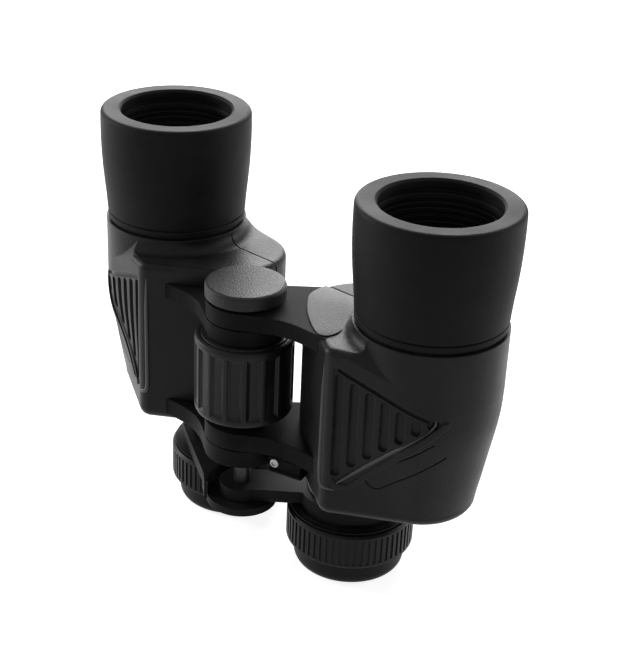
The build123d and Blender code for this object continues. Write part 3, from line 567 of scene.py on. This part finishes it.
class BINOCULARS_OT_focus_wheel(bpy.types.Operator):
    """Model the focus wheel's rubber tread with broad flutes between thin ridges"""

    bl_idname = "binoculars.focus_wheel"
    bl_label = "Focus wheel"

    def execute(self, context):
        settings = context.scene.binoculars_wheel
        low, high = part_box("focus_wheel_grip")
        centre = middle("focus_wheel_grip")
        radius = outer_radius("focus_wheel_grip")
        inner = outer_radius("focus_wheel_core") + SEAT
        steps_per_flute = 10
        segments = settings.flutes * steps_per_flute
        lower, upper = low.z + settings.margin, high.z - settings.margin
        round_edge = 1.2 * MM
        corner_in, corner_up = 0.35 * MM, 0.4 * MM
        tread = turned("focus_wheel_tread", centre, [
            (inner, low.z),
            (radius - round_edge, low.z),
            (radius - corner_in, low.z + corner_up),
            (radius, low.z + round_edge),
            (radius, lower),
            (radius, (lower + upper) / 2),
            (radius, upper),
            (radius, high.z - round_edge),
            (radius - corner_in, high.z - corner_up),
            (radius - round_edge, high.z),
            (inner, high.z),
        ], segments)

        def in_flute(face):
            """Whether a face of the rim lies between two of the thin ridges."""
            inner_skin = radius - 0.2 * MM
            x, y, z = face.center
            if not lower < z < upper or hypot(x - centre.x, y - centre.y) < inner_skin:
                return False
            angle = Vector((x - centre.x, y - centre.y)).angle_signed(Vector((1, 0)))
            step = int((angle % (2 * pi)) / (2 * pi) * segments)
            return 1 <= step % steps_per_flute <= steps_per_flute - 2

        pick_faces(tread, in_flute)
        for slope, share in ((0.35 * MM, 0.55), (0.9 * MM, 0.45)):
            bpy.ops.mesh.inset(thickness=slope, depth=-share * settings.depth)
        settle(tread)
        apply_bevel(tread, 0.22 * MM, angle=25.0)
        dress(tread, "wheel", "focus_wheel")
        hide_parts("focus_wheel_grip")
        return {"FINISHED"}


class BINOCULARS_OT_glare_rings(bpy.types.Operator):
    """Turn the stepped rings that stop glare in front of each objective lens"""

    bl_idname = "binoculars.glare_rings"
    bl_label = "Glare rings"

    def execute(self, context):
        pitch = context.scene.binoculars_fine.glare_pitch
        above_retainer, below_mouth = 0.6 * MM, 0.3 * MM
        outer, valley, crest = 21.35 * MM, 21.25 * MM, 21.0 * MM
        for side in ("right", "left"):
            centre = middle(f"{side}_objective_tube")
            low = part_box(f"{side}_lens_retainer")[1].z + above_retainer
            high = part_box(f"{side}_objective_tube")[1].z - below_mouth
            count = int((high - low) / pitch)
            profile = [(outer, low)]
            for step in range(count):
                foot = low + step * pitch
                profile += [
                    (crest, foot + 0.25 * pitch),
                    (crest, foot + 0.5 * pitch),
                    (valley, foot + 0.75 * pitch),
                ]
            profile.append((outer, low + count * pitch))
            rings = turned(f"{side}_glare_rings", centre, profile, segments=128)
            bpy.ops.object.shade_smooth_by_angle(angle=radians(25))
            dress(rings, "tube", f"{side}_half")
        return {"FINISHED"}


class BINOCULARS_OT_neck_ridges(bpy.types.Operator):
    """Turn the ridges round each eyepiece's neck between the bridge and the body"""

    bl_idname = "binoculars.neck_ridges"
    bl_label = "Neck ridges"

    def execute(self, context):
        pitch = context.scene.binoculars_fine.neck_pitch
        ridge_count = 3
        above_arm = 0.55 * MM
        inner, valley, crest = 12.52 * MM, 12.9 * MM, 13.7 * MM
        shoulder = crest - 0.15 * MM
        for side, body in (("right", "focus_carriage"), ("left", "left_ocular_carriage")):
            centre = middle(f"{side}_eyecup")
            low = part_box(f"{side}_bridge_arm")[1].z + above_arm
            profile = [(inner, low), (valley, low)]
            for step in range(ridge_count):
                foot = low + step * pitch
                profile += [
                    (shoulder, foot + 0.3 * pitch),
                    (crest, foot + 0.5 * pitch),
                    (shoulder, foot + 0.7 * pitch),
                    (valley, foot + pitch),
                ]
            profile.append((inner, low + ridge_count * pitch))
            ridges = turned(f"{side}_neck_ridges", centre, profile)
            apply_bevel(ridges, 0.1 * MM)
            dress(ridges, "cup", body)
        return {"FINISHED"}


class BINOCULARS_OT_grip_beads(bpy.types.Operator):
    """Lay the raised beads along the front edge and the lower edge of each grip"""

    bl_idname = "binoculars.grip_beads"
    bl_label = "Grip beads"

    def execute(self, context):
        radius = context.scene.binoculars_fine.bead_radius
        sunk = 0.3 * radius          # of the bead's middle below the armour's skin
        reach = 30 * MM              # start of a ray outside the armour
        turn = radians(32)           # of the grip's face away from the front
        edge_shares = (0, 0.2, 0.4, 0.6, 0.8, 1)
        slope_shares = (0, 0.25, 0.5, 0.75, 1)
        for side, hand in (("right", 1), ("left", -1)):
            armour = frame["nodes"][f"{side}_armour"]
            facing = Vector((hand * sin(turn), -cos(turn), 0))
            across = Vector((hand * cos(turn), sin(turn), 0))
            # Straight out of the grip's front edge, forwards and towards the hinge
            inward = Vector((-hand * 0.48, -0.88, 0)).normalized()
            low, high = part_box(f"{side}_armour")
            upright_from, upright_to = low.z + 20 * MM, high.z - 18 * MM
            corner = max(
                (vertex.co for vertex in armour.data.vertices
                 if upright_from < vertex.co.z < upright_to),
                key=lambda place: place.dot(inward),
            )

            def on_armour(start, direction):
                """Middle of a bead laid where a ray meets the armour."""
                found, place, normal, _ = armour.ray_cast(start - direction * reach, direction)
                if not found:
                    raise RuntimeError(f"no armour under a bead of {side}")
                return place - normal * sunk

            def on_grip(u, z):
                """The same on the grip's face, u across it from its front corner."""
                start = Vector((corner.x, corner.y, 0)) + across * u + Vector((0, 0, z))
                return on_armour(start, -facing)

            foot, head = low.z + 12.2 * MM, high.z - 11 * MM
            edge = [
                on_armour(Vector((corner.x, corner.y, head + (foot - head) * share)), -inward)
                for share in edge_shares
            ]
            lip = [on_grip(u, foot - 0.9 * MM) for u in (2.5 * MM, 6.0 * MM)]
            bead = swept(f"{side}_edge_bead", edge + lip, radius)
            # The bead's paler rubber is a painted highlight
            dress(bead, "wear_and_highlight", f"{side}_half")
            low_end = Vector((6.5 * MM, foot + 2.2 * MM))
            outer_end = Vector((39.6 * MM, low.z + 44.0 * MM))
            slope = [on_grip(*low_end.lerp(outer_end, share)) for share in slope_shares]
            tip = on_grip(outer_end.x - 1.0 * MM, outer_end.y + 2.2 * MM)
            bead = swept(f"{side}_lower_bead", slope + [tip], 0.85 * radius)
            # The bead's paler rubber is a painted highlight
            dress(bead, "wear_and_highlight", f"{side}_half")
        return {"FINISHED"}


class BINOCULARS_OT_shoulder_pad(bpy.types.Operator):
    """Lay the armour's shoulder over the root of the right upper arm"""

    bl_idname = "binoculars.shoulder_pad"
    bl_label = "Shoulder pad"

    def execute(self, context):
        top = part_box("upper_bush")[1].z
        thickness, rounding = 0.5 * MM, 0.15 * MM
        lifted = 0.05 * MM
        # Knots of the smooth outline in millimetres about the hinge, from its left end
        outline = (
            (13.2, 9.3), (12.4, 2.5), (16.5, -4.0), (23.5, -11.5), (32.0, -18.0),
            (37.5, -20.8), (41.0, -17.0), (38.0, -4.0), (36.0, 5.0), (30.0, 9.5),
        )
        deselect()
        bpy.ops.curve.primitive_nurbs_path_add(location=(0, 0, 0))
        line = bpy.context.object
        spline = line.data.splines[0]
        spline.points.add(len(outline) - len(spline.points))
        for knot, (x, y) in zip(spline.points, outline):
            knot.co = (x * MM, y * MM, 0, 1)
        spline.use_cyclic_u = True
        spline.order_u = 3
        line.data.dimensions = "2D"
        line.data.fill_mode = "BOTH"
        line.data.resolution_u = 6
        line.data.extrude = thickness / 2
        line.data.bevel_depth = rounding
        line.data.bevel_resolution = 2
        line.location.z = top + lifted
        bpy.ops.object.convert(target="MESH")
        pad = name_piece("right_shoulder_pad")
        settle(pad)
        bpy.ops.object.shade_smooth_by_angle(angle=radians(40))
        dress(pad, "armour", "right_half")
        return {"FINISHED"}


class BINOCULARS_OT_arm_foot(bpy.types.Operator):
    """Model the deeper foot of the right lower arm, with two ledges along it"""

    bl_idname = "binoculars.arm_foot"
    bl_label = "Arm foot"

    def execute(self, context):
        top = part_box("lower_bush")[1].z - 6.5 * MM
        length, width = 14.5 * MM, 7 * MM
        sole, ledge, waist, neck = 1.0 * MM, 0.6 * MM, 1.5 * MM, 1.2 * MM
        foot = stacked("right_arm_foot", length, width, [
            (sole, top - 6.9 * MM),
            (ledge, top - 6.5 * MM),
            (ledge, top - 5.7 * MM),
            (waist, top - 5.3 * MM),
            (waist, top - 2.0 * MM),
            (ledge, top - 1.6 * MM),
            (ledge, top - 0.9 * MM),
            (neck, top - 0.5 * MM),
            (neck, top),
        ])
        foot.rotation_euler.z = radians(14)
        foot.location = (23.6 * MM, -18.4 * MM, 0)
        settle(foot)
        apply_bevel(foot, 0.2 * MM, angle=25.0)
        dress(foot, "alloy", "right_half")
        return {"FINISHED"}


class BINOCULARS_OT_lock_screw(bpy.types.Operator):
    """Model the small lock screw on the right lower hinge arm"""

    bl_idname = "binoculars.lock_screw"
    bl_label = "Lock screw"

    def execute(self, context):
        radius = context.scene.binoculars_fine.screw_radius
        shank, socket = 0.62 * radius, 0.45 * radius
        rim_height, socket_floor = 0.55 * MM, 0.35 * MM
        head = turned("arm_lock_screw", Vector(), [
            (shank, -1.2 * MM),
            (shank, 0.0),
            (radius, 0.0),
            (radius, rim_height),
            (0.8 * radius, 0.85 * MM),
            (0.5 * radius, 0.95 * MM),
            (socket, socket_floor),
            (0.1 * radius, socket_floor),
        ], segments=36, closed=False)
        bpy.ops.object.mode_set(mode="EDIT")
        bpy.ops.mesh.select_mode(type="EDGE")
        bpy.ops.mesh.select_all(action="DESELECT")
        bpy.ops.mesh.select_non_manifold()
        bpy.ops.mesh.edge_face_add()
        bpy.ops.object.mode_set(mode="OBJECT")
        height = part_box("lower_bush")[1].z - 9.0 * MM
        head.rotation_euler = (radians(90), 0, radians(18))
        head.location = (20.4 * MM, -22.1 * MM, height)
        settle(head)
        apply_bevel(head, 0.12 * MM)
        dress(head, "spring", "right_half")
        return {"FINISHED"}


class BINOCULARS_OT_stage(bpy.types.Operator):
    """Set the pale floor, the soft lamps, the room and the camera"""

    bl_idname = "binoculars.stage"
    bl_label = "Stage"

    def execute(self, context):
        settings = context.scene.binoculars_stage
        context.scene.view_settings.view_transform = "Standard"
        self.floor(settings)
        self.room(settings)
        low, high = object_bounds()
        heart = (Vector(low) + Vector(high)) / 2
        left_power = LEFT_LAMP_SHARE * settings.side_power
        self.lamp("back_lamp", heart, BACK_LAMP, size=1.0, power=settings.back_power)
        self.lamp("right_lamp", heart, RIGHT_LAMP, size=0.5, power=settings.side_power)
        self.lamp("left_lamp", heart, LEFT_LAMP, size=0.3, power=left_power)
        self.camera(context)
        return {"FINISHED"}

    def seen_share(self, tree):
        """One for camera, glossy and transmission rays, and nought for the rest."""
        path = tree.nodes.new("ShaderNodeLightPath")
        share = path.outputs["Is Camera Ray"]
        for name in ("Is Glossy Ray", "Is Transmission Ray"):
            most = tree.nodes.new("ShaderNodeMath")
            most.operation = "MAXIMUM"
            tree.links.new(share, most.inputs[0])
            tree.links.new(path.outputs[name], most.inputs[1])
            share = most.outputs[0]
        return share

    def floor(self, settings):
        """Pale matt floor that glows a little where it is seen."""
        deselect()
        bpy.ops.mesh.primitive_plane_add(size=settings.floor_size, location=(0, 0, -FLOOR_GAP))
        floor = name_piece("floor")
        bpy.ops.object.transform_apply(location=True, rotation=False, scale=False)
        finish = Finish("floor")
        tone = settings.floor_tone
        cloud = finish.noise(size=0.4, detail=2.0)
        finish.colour(finish.blend(cloud, (tone,) * 3, (tone + 0.015,) * 3))
        finish.set(Roughness=0.9, Specular_IOR_Level=0.0)
        glow = finish.add("ShaderNodeEmission")
        glow.inputs["Color"].default_value = (1, 1, 1, 1)
        strength = finish.add("ShaderNodeMath", operation="MULTIPLY")
        strength.inputs[1].default_value = FLOOR_GLOW
        finish.join(self.seen_share(finish.tree), strength.inputs[0])
        finish.join(strength.outputs[0], glow.inputs["Strength"])
        both = finish.add("ShaderNodeAddShader")
        finish.join(finish.shader.outputs[0], both.inputs[0])
        finish.join(glow.outputs[0], both.inputs[1])
        finish.join(both.outputs[0], finish.tree.nodes["Material Output"].inputs["Surface"])
        floor.data.materials.append(finish.material)
        floor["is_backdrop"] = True

    def room(self, settings):
        """White surroundings, dimmer where they only light the object."""
        world = bpy.data.worlds.new("room")
        bpy.context.scene.world = world
        world.use_nodes = True
        tree = world.node_tree
        plain = tree.nodes["Background"]
        plain.inputs["Color"].default_value = (1, 1, 1, 1)
        plain.inputs["Strength"].default_value = settings.room_level
        white = tree.nodes.new("ShaderNodeBackground")
        white.inputs["Color"].default_value = (1, 1, 1, 1)
        white.inputs["Strength"].default_value = 1.0
        mix = tree.nodes.new("ShaderNodeMixShader")
        tree.links.new(self.seen_share(tree), mix.inputs[0])
        tree.links.new(plain.outputs[0], mix.inputs[1])
        tree.links.new(white.outputs[0], mix.inputs[2])
        tree.links.new(mix.outputs[0], tree.nodes["World Output"].inputs["Surface"])

    def lamp(self, name, target, offset, size, power):
        """Square lamp at an offset from its target, hidden from the camera."""
        place = target + offset
        deselect()
        bpy.ops.object.light_add(type="AREA", location=place)
        lamp = bpy.context.object
        lamp.name = name
        lamp.data.shape = "SQUARE"
        lamp.data.size = size
        lamp.data.energy = power
        lamp.visible_camera = False
        lamp.rotation_euler = (target - place).to_track_quat("-Z", "Y").to_euler()

    def camera(self, context):
        """Camera above the object's front right, its up square to back and right."""
        back = CAMERA_BACK
        right = (CAMERA_RIGHT - back * CAMERA_RIGHT.dot(back)).normalized()
        up = back.cross(right)
        deselect()
        bpy.ops.object.camera_add(location=CAMERA_PLACE)
        camera = bpy.context.object
        camera.name = "camera"
        turn = Matrix((right, up, back)).transposed().to_4x4()
        camera.matrix_world = Matrix.Translation(CAMERA_PLACE) @ turn
        camera.data.lens = CAMERA_LENS
        camera.data.sensor_width = CAMERA_SENSOR
        camera.data.clip_start = CAMERA_NEAR
        context.scene.camera = camera


class BINOCULARS_PT_panel(bpy.types.Panel):
    """Sidebar panel with the pieces and their sizes"""

    bl_idname = "BINOCULARS_PT_panel"
    bl_label = "Binoculars"
    bl_space_type = "VIEW_3D"
    bl_region_type = "UI"
    bl_category = "Binoculars"

    def draw(self, context):
        layout = self.layout
        for attribute, group in SETTINGS.items():
            box = layout.box()
            for name in group.__annotations__:
                box.prop(getattr(context.scene, attribute), name)
        for operator in OPERATORS:
            layout.operator(operator.bl_idname)


SETTINGS = {
    "binoculars_stage": StageSettings,
    "binoculars_rubber": RubberSettings,
    "binoculars_wheel": WheelSettings,
    "binoculars_fine": FineSettings,
}
OPERATORS = (
    BINOCULARS_OT_stage,
    BINOCULARS_OT_finishes,
    BINOCULARS_OT_focus_wheel,
    BINOCULARS_OT_glare_rings,
    BINOCULARS_OT_neck_ridges,
    BINOCULARS_OT_grip_beads,
    BINOCULARS_OT_shoulder_pad,
    BINOCULARS_OT_arm_foot,
    BINOCULARS_OT_lock_screw,
)


def register():
    for kind in (*SETTINGS.values(), *OPERATORS, BINOCULARS_PT_panel):
        bpy.utils.register_class(kind)
    for attribute, group in SETTINGS.items():
        setattr(bpy.types.Scene, attribute, bpy.props.PointerProperty(type=group))


def unregister():
    for attribute in SETTINGS:
        delattr(bpy.types.Scene, attribute)
    for kind in (BINOCULARS_PT_panel, *OPERATORS, *SETTINGS.values()):
        bpy.utils.unregister_class(kind)


def main():
    register()
    bpy.ops.binoculars.stage()
    bpy.ops.binoculars.finishes()
    bpy.ops.binoculars.focus_wheel()
    bpy.ops.binoculars.glare_rings()
    bpy.ops.binoculars.neck_ridges()
    bpy.ops.binoculars.grip_beads()
    bpy.ops.binoculars.shoulder_pad()
    bpy.ops.binoculars.arm_foot()
    bpy.ops.binoculars.lock_screw()


if __name__ == "__main__":
    main()
